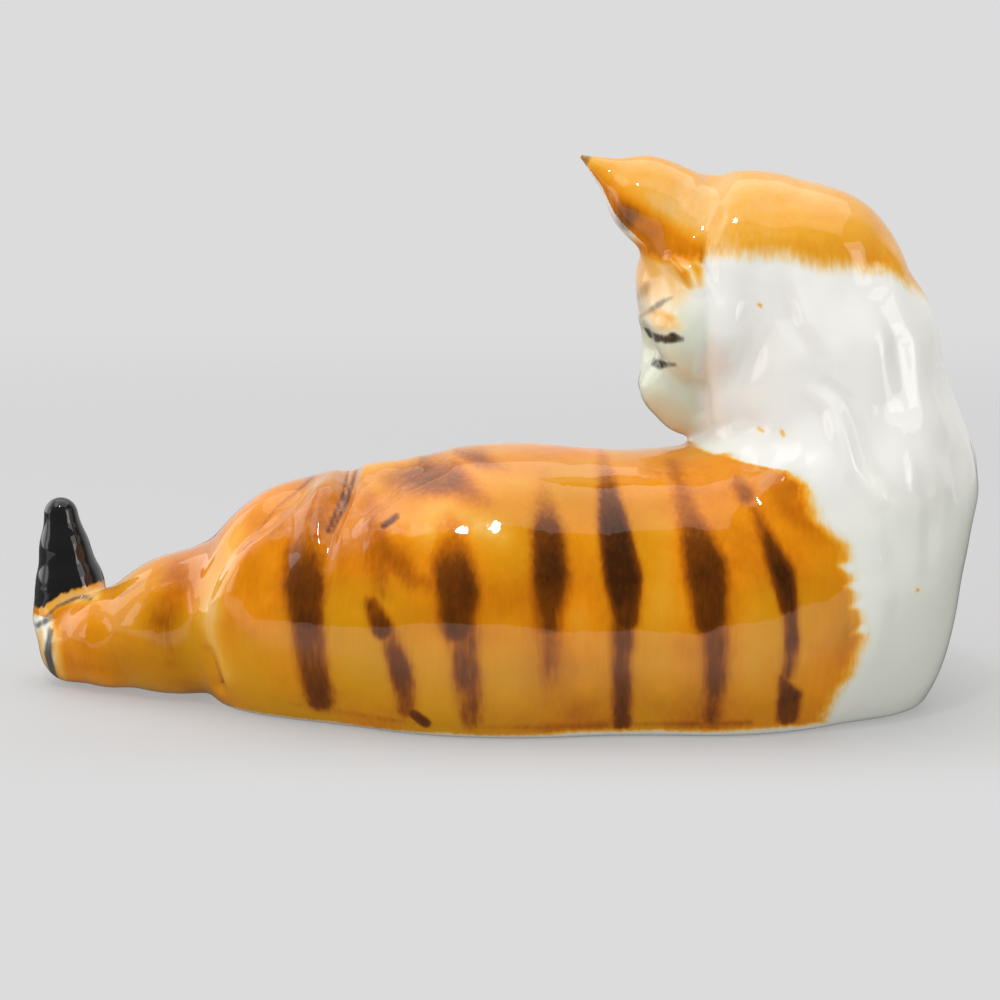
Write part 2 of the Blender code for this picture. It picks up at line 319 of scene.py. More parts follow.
def lattice_noise(points, size, seed):
    """Soft noise about zero whose blobs are about that many millimetres across, per axis."""
    table = np.random.default_rng(seed).uniform(-1, 1, (32, 32, 32))
    spot = points / np.asarray(size, float)
    cell = np.floor(spot).astype(int)
    t = spot - cell
    t = t * t * t * (t * (6 * t - 15) + 10)
    total = 0
    for corner in np.ndindex(2, 2, 2):
        weight = np.prod(np.where(corner, t, 1 - t), axis=1)
        x, y, z = ((cell + corner) % 32).T
        total = total + weight * table[x, y, z]
    return total


def path_distance(plane, path):
    """Distance in a plane to a path, and how far along the path the nearest place is, from 0 to 1."""
    path = np.array(path, float)
    best = np.full(len(plane), 1e9)
    place = np.zeros(len(plane))
    for i in range(len(path) - 1):
        start, along = path[i, :2], path[i + 1, :2] - path[i, :2]
        t = np.clip(((plane - start) @ along) / max(along @ along, 1e-9), 0, 1)
        gap = np.linalg.norm(plane - start - t[:, None] * along, axis=1)
        nearer = gap < best
        best[nearer] = gap[nearer]
        place[nearer] = (i + t[nearer]) / (len(path) - 1)
    return best, place


def stroke(plane, path, widths, soft, strengths=(1, 1)):
    """How much of a brush stroke lies at each place: 1 on its line, softly falling to 0 at its edge."""
    path = np.array(path, float)
    reach = max(widths) + soft
    low, high = path.min(0) - reach, path.max(0) + reach
    inside = ((plane > low) & (plane < high)).all(1)
    amount = np.zeros(len(plane))
    if inside.any():
        gap, place = path_distance(plane[inside], path)
        steps = np.linspace(0, 1, len(widths))
        width = np.interp(place, steps, widths)
        strength = np.interp(place, np.linspace(0, 1, len(strengths)), strengths)
        amount[inside] = strength * (1 - smooth_step(gap, width - soft, width + soft))
    return amount


def strokes(plane, table):
    """The strongest of several strokes."""
    amount = np.zeros(len(plane))
    for path, widths, soft, strengths in table:
        amount = np.maximum(amount, stroke(plane, path, widths, soft, strengths))
    return amount


# ---------------------------------------------------------------- sculpted relief, seen from the cat's back

# Every row: path as (x, z), half widths along it, softness, and heights in millimetres along it.
CREASES = [
    ([(-70, 26), (-67, 33), (-61, 42), (-54, 48), (-47, 53), (-43, 56)], (1.4, 2.0, 1.6), 2.0,
     (0.3, 1.3, 0.8)),
    ([(-43, 56), (-40, 57), (-38, 55), (-38, 52), (-40, 49), (-41, 43)], (1.2, 1.5, 1.0), 1.4,
     (0.8, 1.6, 0.4)),
    ([(-35, 59), (-37, 52), (-40, 45), (-41, 38)], (1.2, 1.4, 1.0), 1.5, (1.2, 1.0, 0.3)),
    ([(-36, 46), (-30, 52), (-25, 56), (-15, 60)], (1.3, 1.6, 1.2), 1.6, (0.5, 1.1, 0.4)),
    ([(-70, 14), (-68, 6)], (1.4, 1.4), 1.4, (0.6, 1.0)),
    ([(49, 127), (46.5, 120), (45, 113)], (2.4, 2.6, 2.0), 2.6, (1.7, 1.5, 1.2)),
    ([(45, 113), (44.5, 109), (46.5, 103), (48, 98)], (1.4, 1.4, 1.0), 1.4, (1.2, 1.4, 0.4)),
    ([(45.5, 100), (45.5, 86), (45.5, 70)], (1.4, 1.6, 1.2), 1.8, (0.6, 1.5, 1.2)),
    ([(60, 118), (68, 121), (78, 117)], (2.6, 3.0, 2.6), 3.0, (0.3, 0.7, 0.3)),
    ([(72, 79), (77, 75), (79, 69), (81.5, 61), (86, 55)], (1.4, 1.8, 1.4), 1.6, (0.5, 1.3, 0.5)),
    ([(62, 102), (64, 94), (69, 86)], (1.8, 2.2, 1.6), 2.0, (0.3, 1.0, 0.3)),
    ([(86, 98), (89, 88), (90, 78)], (1.6, 2.2, 1.6), 2.0, (0.3, 0.9, 0.3)),
    ([(76, 44), (78, 32), (78, 18)], (1.8, 2.2, 1.8), 2.2, (0.3, 0.7, 0.3)),
    ([(92, 66), (96, 52), (96, 36)], (2.0, 2.4, 2.0), 2.4, (0.3, 0.8, 0.3)),
]
RIDGES = [
    ([(69, 77), (73.4, 74.3), (75.2, 68.6), (78, 60.7), (83, 54)], (1.6, 2.2, 1.8), 1.8, (0.5, 1.6, 0.6)),
    ([(66, 101), (68, 93), (73, 85)], (2.0, 2.4, 2.0), 2.2, (0.3, 1.0, 0.4)),
    ([(81, 98), (84, 88), (85, 78)], (2.0, 2.6, 2.0), 2.4, (0.3, 1.0, 0.3)),
    ([(83, 46), (84, 32), (83, 18)], (2.0, 2.6, 2.2), 2.6, (0.3, 0.7, 0.3)),
    ([(-69, 22), (-62, 36), (-52, 44)], (4.0, 4.6, 3.4), 4.0, (0.3, 1.1, 0.5)),
    ([(-43, 51), (-45, 46), (-46, 41)], (3.0, 3.2), 3.2, (1.3, 0.5)),
    ([(-37, 56), (-30, 58.5), (-22, 59.5)], (1.5, 1.8, 1.3), 1.8, (0.4, 1.3, 0.5)),
    ([(-34, 50), (-29, 46), (-22, 45), (-14, 47)], (3.0, 3.8, 3.0), 3.4, (0.5, 1.0, 0.3)),
    ([(48.5, 104), (50, 96), (51, 84), (50, 70)], (2.4, 3.2, 2.6), 2.8, (0.4, 1.4, 0.8)),
    ([(52, 66), (60, 62), (70, 60)], (3.0, 3.0, 2.0), 3.0, (0.8, 0.6, 0.2)),
    ([(60, 58), (66, 52), (70, 46)], (3.0, 3.5, 2.5), 3.0, (0.4, 0.8, 0.3)),
    ([(38, 106), (41, 103.5), (44, 100)], (1.3, 1.6, 1.3), 1.4, (0.8, 1.3, 0.7)),
    ([(31, 90.5), (36, 91.5), (40, 90)], (1.4, 1.8, 1.4), 1.4, (0.3, 0.6, 0.3)),
    ([(36, 82), (40, 78), (42, 73)], (3.0, 3.6, 3.0), 3.0, (0.3, 0.6, 0.4)),
]
# Gaps between the toes of the four paws, as (x, y).
TOE_PATHS = [
    [(6, 58.6), (9, 58.3), (13, 57.8)],
    [(6, 63.2), (9, 63.5), (13, 64.0)],
    [(-39, 62.6), (-36, 62.4), (-32, 62)],
    [(-39, 67), (-36, 67.3), (-32, 67.8)],
    [(40, 59.8), (37, 59.6), (33, 59.2)],
    [(40, 64.2), (37, 64.5), (33, 65)],
    [(77, 62.8), (74, 62.6), (70, 62.2)],
    [(77, 67.2), (74, 67.5), (70, 68)],
]
TOE_LINES = [(path, (0.5, 0.7), 0.7, (0.3, 1.2)) for path in TOE_PATHS]


def relief(points, normals):
    """Height of the sculpted surface over the plain form, in millimetres."""
    plane = points[:, [0, 2]]
    near_side = 1 - smooth_step(normals[:, 1], -0.15, 0.35)
    haunch = 1 + 0.6 * smooth_step(-points[:, 0], -5, 5)
    height = near_side * haunch * (strokes(plane, RIDGES) - strokes(plane, CREASES))
    height -= strokes(points[:, [0, 1]], TOE_LINES)
    hand_made = 0.45 * lattice_noise(points, 19.0, 3) + 0.12 * lattice_noise(points, 9.0, 4)
    hand_made *= 1 - 0.7 * smooth_step(-points[:, 0], 76, 88)
    fur = smooth_step(points[:, 0] - 42, 0, 12) * smooth_step(points[:, 2], 38, 58)
    clumps = 1.5 * lattice_noise(points, (10.0, 11.0, 19.0), 5)
    clumps += 0.45 * lattice_noise(points, (5.0, 6.0, 12.0), 6)
    ears = smooth_step(points[:, 2], 104, 112)
    return height + (hand_made + fur * (1 - ears) * clumps) * smooth_step(points[:, 2], 1.0, 8.0)


# ---------------------------------------------------------------- meshing and cutting

def skin(low, high, step):
    """A closed mesh of the form inside a box, as points and quads."""
    field = form_grid(CAT, low, high, step)
    grid = openvdb.FloatGrid(FAR)
    grid.copyFromArray(np.ascontiguousarray(field))
    points, quads = grid.convertToQuads(0.0)
    return np.array(points) * step + np.array(low, float), np.array(quads)


def vertex_normals(mesh):
    normals = np.empty(len(mesh.vertices) * 3, np.float32)
    mesh.vertices.foreach_get("normal", normals)
    return normals.reshape(-1, 3)


def skin_bmesh(low, high, step):
    """The skin as a bmesh, with the uncut form's normals kept on its points."""
    points, quads = skin(low, high, step)
    mesh = bpy.data.meshes.new("skin")
    mesh.from_pydata(points.tolist(), [], quads.tolist())
    mesh.update()
    points = points + vertex_normals(mesh) * relief(points, vertex_normals(mesh))[:, None]
    mesh.vertices.foreach_set("co", points.astype(np.float32).ravel())
    mesh.update()
    normals = vertex_normals(mesh).ravel()
    mesh.attributes.new("skin_normal", "FLOAT_VECTOR", "POINT").data.foreach_set("vector", normals)
    bm = bmesh.new()
    bm.from_mesh(mesh)
    bpy.data.meshes.remove(mesh)
    return bm


def keep_side(bm, seam, offset, keep_beyond):
    """Cut at a plane parallel to a seam, keep one side and close the cut with a flat face."""
    point, normal = np.array(seam[0], float), unit(seam[1])
    cap = bm.faces.layers.int.get("cap") or bm.faces.layers.int.new("cap")
    geometry = bm.verts[:] + bm.edges[:] + bm.faces[:]
    plane = Vector(point + normal * offset)
    bmesh.ops.bisect_plane(bm, geom=geometry, dist=1e-5, plane_co=plane, plane_no=Vector(normal),
                           clear_outer=not keep_beyond, clear_inner=keep_beyond)
    rim = [edge for edge in bm.edges if edge.is_boundary]
    filled = bmesh.ops.triangle_fill(bm, use_beauty=False, use_dissolve=False, edges=rim,
                                     normal=Vector(normal))
    for made in filled["geom"]:
        if isinstance(made, bmesh.types.BMFace):
            made[cap] = 1


def islands(bm):
    """The separate bodies of a bmesh, as sets of points, from low x to high x."""
    unseen = set(bm.verts)
    found = []
    while unseen:
        frontier = [unseen.pop()]
        body = set(frontier)
        while frontier:
            vertex = frontier.pop()
            for edge in vertex.link_edges:
                other = edge.other_vert(vertex)
                if other in unseen:
                    unseen.remove(other)
                    body.add(other)
                    frontier.append(other)
        found.append(body)
    found.sort(key=lambda body: sum(v.co.x for v in body) / len(body))
    return found


def keep_body(bm, body):
    bmesh.ops.delete(bm, geom=[v for v in bm.verts if v not in body], context="VERTS")


def piece_from_bmesh(name, bm):
    """A named object in the row's frame, in metres, with the form's normals on its skin."""
    bmesh.ops.recalc_face_normals(bm, faces=bm.faces)
    mesh = bpy.data.meshes.new(name)
    bm.to_mesh(mesh)
    bm.free()
    mesh.shade_smooth()
    count = len(mesh.vertices)
    normals = np.empty(count * 3, np.float32)
    mesh.attributes["skin_normal"].data.foreach_get("vector", normals)
    normals = normals.reshape(-1, 3)
    normals /= np.maximum(np.linalg.norm(normals, axis=1, keepdims=True), 1e-6)
    corners = np.empty(len(mesh.loops), np.int32)
    mesh.loops.foreach_get("vertex_index", corners)
    split = normals[corners]
    caps = np.zeros(len(mesh.polygons), np.int32)
    if "cap" in mesh.attributes:
        mesh.attributes["cap"].data.foreach_get("value", caps)
    for index in np.nonzero(caps)[0]:
        polygon = mesh.polygons[index]
        split[polygon.loop_start:polygon.loop_start + polygon.loop_total] = polygon.normal
    points = np.empty(count * 3, np.float32)
    mesh.vertices.foreach_get("co", points)
    points = points.reshape(-1, 3)
    paint(mesh, points, normals)
    mesh.vertices.foreach_set("co", ((points + FRAME_SHIFT) * MM).astype(np.float32).ravel())
    mesh.normals_split_custom_set(split.tolist())
    mesh.update()
    thing = bpy.data.objects.new(name, mesh)
    bpy.context.scene.collection.objects.link(thing)
    return thing


# ---------------------------------------------------------------- paint

# Paint on the cat's back and near side, as (x, z): stripes, and painted shade in the haunch's creases and in
# the dent inside its loop. Rows as above, with darkness in place of height.
STRIPES_AND_CREASE_SHADE = [
    ([(-46, 47), (-46.5, 40), (-46, 33), (-45.5, 27)], (3.0, 5.0, 5.4, 4.6), 3.0, (0.25, 0.55, 0.72, 0.65)),
    ([(-45.5, 27), (-44.5, 17), (-43, 7)], (4.4, 4.4, 3.8), 3.0, (0.5, 0.55, 0.6)),
    ([(-30, 30.5), (-28, 26)], (2.6, 3.0), 2.2, (0.6, 0.66)),
    ([(-27, 28), (-24, 17), (-22.5, 7)], (2.4, 3.4, 3.2), 2.6, (0.4, 0.58, 0.5)),
    ([(-29.6, 46.7), (-27, 42.2), (-21.5, 37), (-16.6, 36)], (2.2, 3.0, 2.6), 3.0, (0.4, 0.5, 0.4)),
    ([(-31, 50), (-29, 42), (-28, 33)], (3.0, 3.4, 3.0), 3.2, (0.3, 0.36, 0.42)),
    ([(-13, 47), (-12, 40), (-11, 34), (-11, 27)], (4.0, 5.2, 5.2, 4.0), 3.0, (0.5, 0.75, 0.85, 0.7)),
    ([(-9.5, 27), (-9, 16), (-8.5, 5)], (3.6, 4.0, 3.4), 2.8, (0.5, 0.5, 0.42)),
    ([(-27, 55), (-20, 57), (-12, 57), (-5, 53)], (2.6, 3.6, 3.6, 2.6), 3.0, (0.5, 0.7, 0.7, 0.45)),
    ([(-12, 61.5), (-6, 60.5), (0, 59)], (1.2, 1.8, 1.2), 1.6, (0.55, 0.6, 0.4)),
    # Painted shade and reflection: grey-brown in the dent inside the haunch loop.
    ([(-42, 54), (-44, 48)], (3.0, 3.4), 3.0, (0.3, 0.36)),
    # Painted shade: a dark line in the haunch's vertical crease, partly the figure's own darker pigment
    # there.
    ([(-35, 58), (-37, 51), (-40, 45)], (0.5, 0.7, 0.5), 0.8, (0.7, 0.8, 0.6)),
    # Painted shade: a dark line round the haunch loop's crease, partly the figure's own darker pigment
    # there.
    ([(-64, 36), (-54, 48), (-47, 53), (-42, 57), (-38, 55), (-38, 52), (-41, 45)], (0.3, 0.5, 0.45), 0.6,
     (0.3, 0.7, 0.8)),
    ([(-28, 47.5), (-25, 49.5)], (0.7, 0.7), 0.6, (0.8, 0.8)),
    # Painted shade: a dark line in the crease low on the haunch, partly the figure's own darker pigment
    # there.
    ([(-69, 14), (-67, 7)], (0.5, 0.6), 1.0, (0.3, 0.6)),
    ([(8, 57), (9, 48), (9.5, 38), (9.5, 28)], (2.4, 4.0, 4.2, 3.2), 2.8, (0.35, 0.75, 0.85, 0.6)),
    ([(9.5, 28), (9.5, 18), (9, 12)], (2.8, 2.4), 2.6, (0.45, 0.15)),
    ([(22, 66), (22.5, 58), (24, 47), (26, 37), (26.5, 29)], (1.4, 2.4, 3.8, 4.4, 3.2), 2.0,
     (0.1, 0.6, 0.9, 0.95, 0.8)),
    ([(26, 30), (25.5, 18), (26, 4)], (3.2, 2.8, 2.4), 2.2, (0.65, 0.55, 0.55)),
    ([(38, 60), (40.5, 51), (44, 40), (45, 29)], (1.8, 3.0, 5.0, 4.0), 2.6, (0.4, 0.6, 0.85, 0.75)),
    ([(46, 29), (46.5, 16), (46, 5)], (3.4, 3.2, 2.6), 2.8, (0.55, 0.5, 0.4)),
    ([(52.5, 56.5), (54, 54.5)], (1.8, 2.2), 1.6, (0.5, 0.55)),
    ([(55.5, 52), (58.5, 45), (61.5, 38), (62.8, 31)], (1.2, 2.0, 2.8, 2.4), 2.0, (0.5, 0.75, 0.9, 0.85)),
    ([(63, 31), (63.6, 24), (63, 15)], (2.2, 2.4, 2.0), 2.2, (0.75, 0.7, 0.5)),
    ([(61.5, 15), (63.5, 10), (63.5, 5)], (1.4, 3.2, 3.0), 1.8, (0.5, 0.7, 0.55)),
    ([(-21, 6), (-18.5, 4)], (1.6, 1.6), 1.2, (0.65, 0.7)),
    ([(-50, 5), (-20, 3.5), (20, 3.5), (55, 4)], (0.8, 1.0, 0.8), 1.4, (0.3, 0.35, 0.3, 0.4)),
    ([(-79, 30), (-81, 22), (-80, 12)], (3.0, 4.0, 3.0), 3.0, (0.16, 0.22, 0.14)),
    ([(-86, 25), (-83, 20), (-82, 14)], (1.6, 2.4, 1.6), 2.4, (0.14, 0.2, 0.1)),
    ([(-93, 24.5), (-88, 28), (-83, 31)], (0.4, 0.5, 0.4), 0.7, (0.5, 0.45, 0.2)),
]
# Slate-grey rings round the bend of the tail.
TAIL_RINGS = [
    ([(-113.5, 16.8), (-110, 19.8), (-106, 21.6), (-101, 22.4)], (0.35, 0.45, 0.35), 0.5, (0.7, 0.85, 0.6)),
    ([(-116, 14.2), (-113, 16.2), (-110, 17.4)], (0.7, 0.8, 0.3), 0.7, (0.7, 0.75, 0.4)),
    ([(-111.6, 14), (-112.2, 8.5), (-111.2, 1)], (0.9, 1.3, 1.1), 0.8, (0.7, 0.9, 0.8)),
]
# Sandy brush marks on the white part of the tail's bend.
TAIL_SAND = [
    ([(-114.6, 13), (-114.8, 8), (-113.4, 2)], (1.2, 1.8, 1.6), 1.2, (0.3, 0.4, 0.4)),
    ([(-117, 17), (-113, 18.6), (-109, 20.8)], (0.8, 0.9, 0.8), 0.8, (0.5, 0.55, 0.5)),
]
# Where the orange is brushed thin, and a painted highlight along the haunch's top ridge.
PALE_AND_RIDGE_HIGHLIGHT = [
    ([(-109.6, 14), (-110, 8), (-108.8, 2)], (1.0, 1.4, 1.2), 1.2, (0.7, 0.9, 0.8)),
    ([(-114, 18.6), (-109, 21.6), (-100, 23.4)], (1.4, 1.6, 1.4), 1.0, (0.8, 1.0, 0.9)),
    ([(-63, 42), (-68, 32), (-70, 22), (-66, 10)], (2.0, 2.8, 2.8, 1.8), 2.4, (0.6, 0.85, 0.85, 0.6)),
    # Painted highlight: paler orange along the crest of the haunch's top ridge.
    ([(-37, 57), (-30, 59), (-22, 60)], (1.2, 1.4, 1.2), 1.4, (0.7, 0.8, 0.6)),
    ([(-22, 50), (-16, 48), (-11, 50)], (3.0, 4.0, 3.0), 4.0, (0.3, 0.45, 0.35)),
    ([(-6, 48), (-1, 46)], (2.4, 2.6), 2.6, (0.5, 0.6)),
    ([(-110, 3), (-95, 2.5), (-80, 2)], (2.0, 2.4, 2.0), 2.4, (0.4, 0.5, 0.4)),
    ([(17, 44), (16, 30), (17, 14)], (2.6, 3.6, 3.0), 4.0, (0.25, 0.3, 0.2)),
    ([(34, 46), (35, 30), (36, 14)], (2.6, 3.6, 3.0), 4.0, (0.25, 0.35, 0.3)),
    ([(54, 36), (55, 26), (54, 14)], (2.4, 3.2, 2.6), 3.6, (0.25, 0.3, 0.3)),
    ([(-37, 36), (-36, 26), (-35, 14)], (2.4, 3.4, 3.0), 3.6, (0.2, 0.3, 0.3)),
    ([(-18, 24), (-17, 14)], (3.0, 3.0), 3.6, (0.3, 0.35)),
    ([(1, 26), (1, 12)], (3.0, 3.4), 3.6, (0.3, 0.35)),
]
# Where the orange lies thick, and deeper orange as painted shade on the near ear's lower half and on the
# shoulder.
DEEP_ORANGE_AND_SHADE = [
    # Painted shade: the near ear's lower half is deeper orange where it curves away from the light.
    ([(20, 124), (27, 116), (35, 110), (45, 107)], (2.0, 4.0, 5.0, 3.0), 2.4, (1.2, 1.5, 1.5, 1.2)),
    # Painted shade: a deeper patch on the shoulder where the glaze's reflection breaks off.
    ([(62, 57), (66, 52), (70, 47)], (3.4, 3.8, 2.4), 2.0, (0.5, 0.6, 0.4)),
    ([(-79, 30), (-82, 20), (-80, 12)], (4.0, 5.0, 4.0), 3.0, (0.5, 0.6, 0.4)),
    ([(-60, 40), (-50, 46), (-44, 47)], (3.0, 3.4, 3.0), 3.0, (0.3, 0.35, 0.3)),
    ([(-38, 42), (-38, 34), (-37, 24)], (2.0, 2.4, 2.0), 2.4, (0.3, 0.35, 0.2)),
    ([(48, 36), (49, 30), (50, 22)], (2.0, 2.4, 2.0), 2.4, (0.35, 0.4, 0.3)),
]
# The orange saddle's edge, as heights and the x reached there.
SADDLE_EDGE = (
    [0, 5, 14, 24, 30, 38, 44, 50, 57, 60, 62, 63.5, 65, 70],
    [72, 73, 78, 80, 79, 77, 76, 69, 67, 62, 53, 44, 37, 30],
)
# Lower edges of the orange cap and of the tail's black tip, as x and the height there.
CAP_EDGE = (
    [30, 40, 46, 52, 58, 63, 71, 80, 88, 92, 100],
    [90, 99, 107.5, 107, 107.5, 107.5, 106, 105, 103.5, 100, 96],
)
TAIL_TIP_EDGE = ([-118, -114, -110, -106, -97], [18.3, 19, 22.2, 24, 24.8])
# Brown marks of the eye and cheek, and a painted shade line in the crease below the ear, as (x, z) on the
# left side of the face.
FACE_MARKS_AND_CREASE_SHADE = [
    ([(30.5, 95.5), (32, 98.5), (34.5, 101)], (1.2, 1.6, 1.0), 1.4, (0.45, 0.5, 0.3)),
    ([(31.5, 91.5), (34, 94.5), (36, 96.5), (38, 97.6)], (0.5, 0.8, 0.5), 0.7, (0.5, 0.75, 0.5)),
    ([(30.8, 86.4), (33, 87.6), (35.6, 88.1)], (1.0, 1.5, 1.0), 0.7, (0.8, 1.0, 0.9)),
    ([(36.4, 87.9), (38.2, 88.6), (39.8, 88.4)], (1.0, 1.4, 0.8), 0.7, (0.9, 1.0, 0.8)),
    ([(33.6, 81.4), (35.6, 81.2), (38.6, 82)], (0.8, 1.2, 0.7), 0.7, (0.75, 0.9, 0.7)),
    # Painted shade: a dark line in the crease down the side of the head below the ear.
    ([(44.6, 110), (44.8, 106.5), (46.5, 102)], (0.5, 0.7, 0.4), 0.9, (0.45, 0.5, 0.15)),
]
# Nose and mouth, as (left, up) in the head's own frame in head radii.
MUZZLE_MARKS = [
    ([(-0.12, -0.2), (0.12, -0.2), (0.0, -0.32), (-0.12, -0.2)], (0.08, 0.08), 0.04, (0.6, 0.6)),
    ([(0.0, -0.32), (0.0, -0.5)], (0.02, 0.02), 0.025, (0.6, 0.7)),
    ([(-0.34, -0.52), (-0.18, -0.6), (0.0, -0.5), (0.18, -0.6), (0.34, -0.52)], (0.02, 0.026, 0.02), 0.025,
     (0.4, 0.7, 0.7, 0.7, 0.4)),
]
# Sandy marks round the eye and on the forehead, as (x, z) on the left side of the face.
OCHRE_MARKS = [
    ([(34.5, 94), (37.5, 92.8)], (1.2, 1.2), 1.6, (0.6, 0.55)),
    ([(38.5, 105), (40.5, 103), (41.6, 100.6)], (1.0, 1.4, 1.0), 1.2, (0.7, 0.8, 0.6)),
    ([(42, 106), (43.5, 104), (44, 101)], (0.8, 1.2, 0.8), 1.2, (0.7, 0.7, 0.4)),
    ([(33, 92.5), (36, 92), (39, 91.5)], (1.8, 2.2, 1.6), 2.0, (0.3, 0.4, 0.3)),
    ([(32, 107), (33, 101), (35, 96)], (4.0, 4.4, 3.0), 3.0, (0.55, 0.45, 0.25)),
    ([(38, 107), (38.5, 101), (38, 96)], (3.0, 3.4, 2.4), 3.0, (0.5, 0.4, 0.2)),
    ([(31, 108), (36, 107), (42, 107)], (2.0, 2.4, 2.0), 2.0, (0.8, 0.8, 0.8)),
]
# White hairs of the ruff that lie over the top of the saddle.
WHITE_HAIRS = [
    ([(27, 61.4), (33, 62.4), (39, 63.2), (47, 64.2)], (0.5, 1.4, 2.6, 3.4), 1.2, (0.7, 1.0, 1.0)),
    ([(36, 62.6), (42, 63.2), (50, 64.4)], (0.4, 0.8, 1.2), 0.8, (0.6, 0.9, 1.0)),
    ([(48, 61.6), (56, 61.0), (64, 62)], (0.4, 0.8, 1.4), 0.9, (0.5, 0.8, 1.0)),
]
FAINT_HAIRS = [
    [(70, 42), (73, 40), (77, 39)],
    [(72, 36), (75, 35), (80, 35)],
    [(73, 30), (76, 30), (81, 31)],
    [(72, 22), (75, 23), (80, 25)],
]
WHITE_HAIRS += [(path, (0.2, 0.5, 0.9), 0.8, (0.1, 0.2, 0.35)) for path in FAINT_HAIRS]
# Stripes on the far flank and legs, as (x, z).
FAR_STRIPES = [
    ([(-44, 54), (-42, 44), (-44, 34)], (2.0, 3.6, 2.4), 2.4, (0.6, 0.85, 0.7)),
    ([(-26, 58), (-24, 48), (-27, 36)], (2.0, 3.8, 2.6), 2.4, (0.6, 0.9, 0.7)),
    ([(-6, 60), (-4, 48), (-6, 36)], (2.0, 4.0, 2.6), 2.4, (0.6, 0.9, 0.7)),
    ([(14, 62), (16, 50), (15, 36)], (2.0, 4.0, 2.4), 2.4, (0.6, 0.9, 0.7)),
    ([(34, 62), (36, 50), (37, 36)], (2.0, 3.8, 2.4), 2.4, (0.6, 0.9, 0.7)),
    ([(54, 58), (57, 48), (58, 38)], (1.8, 3.0, 2.0), 2.2, (0.6, 0.85, 0.6)),
    ([(-78, 26), (-80, 16), (-78, 6)], (2.0, 3.0, 2.0), 2.4, (0.5, 0.7, 0.5)),
]
# Single specks of ochre.
SPECKS = [
    ([(57.5, 96.4), (57.9, 96)], (0.25, 0.25), 0.35, (0.8, 0.8)),
    ([(57.8, 68), (58.6, 67.6)], (0.3, 0.3), 0.5, (0.6, 0.6)),
    ([(62.6, 68), (62.9, 67.2)], (0.3, 0.3), 0.5, (0.6, 0.6)),
    ([(93, 33), (93.4, 32.6)], (0.25, 0.25), 0.35, (0.8, 0.8)),
]


EDGE_REACH = 8.0     # depths inside a colour's edge are kept within this many millimetres
HIDE = 16            # taken from a depth to turn orange into white
CAP_BOTTOM = 85      # above this height the orange is the cap's, below it the saddle's
FACE_BOTTOM = 65
FACE_BACK = 47
FACE_TOP = 105       # in front of FACE_BACK the orange starts at this height
TAIL_FRONT = -111.0  # the tail's bend is white beyond this x


def saddle_distance(points):
    """How deep inside the orange saddle each point is, in millimetres."""
    edge = np.interp(points[:, 2], *SADDLE_EDGE)
    return edge - points[:, 0]


def cap_distance(points):
    edge = np.interp(points[:, 0], *CAP_EDGE)
    return np.where(points[:, 0] > 30, points[:, 2] - edge, EDGE_REACH)


def mirrored(vectors):
    """Directions from the head's centre, mirrored in the head's middle plane."""
    return vectors - 2 * (vectors @ HEAD_AXES[1])[:, None] * HEAD_AXES[1]


def on_cheek(points, normals):
    """1 where a surface is on the outer part of the left cheek and faces the left, so that marks show."""
    faces_left = 1 - smooth_step(normals[:, 1], 0.1, 0.6)
    outer = smooth_step((points - HEAD_CENTRE) @ HEAD_AXES[1], 6.5, 9.0)
    on_head = np.linalg.norm(points - HEAD_CENTRE, axis=1) < 1.3 * HEAD_RADIUS
    return faces_left * outer * on_head * (points[:, 0] < 60)


def both_cheeks(points, normals, table):
    """Strokes on the left cheek, and the same strokes mirrored on the right cheek."""
    left = strokes(points[:, [0, 2]], table) * on_cheek(points, normals)
    other = HEAD_CENTRE + mirrored(points - HEAD_CENTRE)
    right = strokes(other[:, [0, 2]], table) * on_cheek(other, mirrored(normals))
    return np.maximum(left, right)


def muzzle_marks(points):
    local = (points - HEAD_CENTRE) @ HEAD_AXES.T / HEAD_RADIUS
    return strokes(local[:, [1, 2]], MUZZLE_MARKS) * (local[:, 0] > 0.7)


def ear_rim(points, normals):
    """1 on the lower rim of either ear's blade, falling to 0 a little inside it."""
    amount = np.zeros(len(points))
    for side in (1, -1):
        axis, front = ear_axis(side), ear_front(side)
        down = np.cross(axis, front)
        down *= np.sign(down @ (-1.0, 0.0, -1.0))
        local = points - ear_root(side)
        along = local @ axis
        half_width = np.interp(along, [0, EAR_MIDDLE, EAR_LENGTH], EAR_HALF_WIDTHS)
        close = (np.abs(local @ front) < half_width) & (np.linalg.norm(local - 15 * axis, axis=1) < 17)
        edge = smooth_step(local @ down - half_width, -0.8, 0.3) * smooth_step(normals @ down, 0.55, 0.9)
        amount = np.maximum(amount, close * smooth_step(along, 7, 12) * edge)
        amount = np.maximum(amount, close * smooth_step(along, 24.5, 26.5))
    return amount


def ear_hollow(points, normals):
    """1 in the hollow of either ear."""
    amount = np.zeros(len(points))
    for side in (1, -1):
        local = points - ear_root(side)
        inside = (normals @ ear_front(side) > 0.25) & (local @ ear_axis(side) > 4)
        near_ear = np.linalg.norm(local - 14 * ear_axis(side), axis=1) < 17
        amount = np.maximum(amount, (inside & near_ear).astype(float))
    return amount


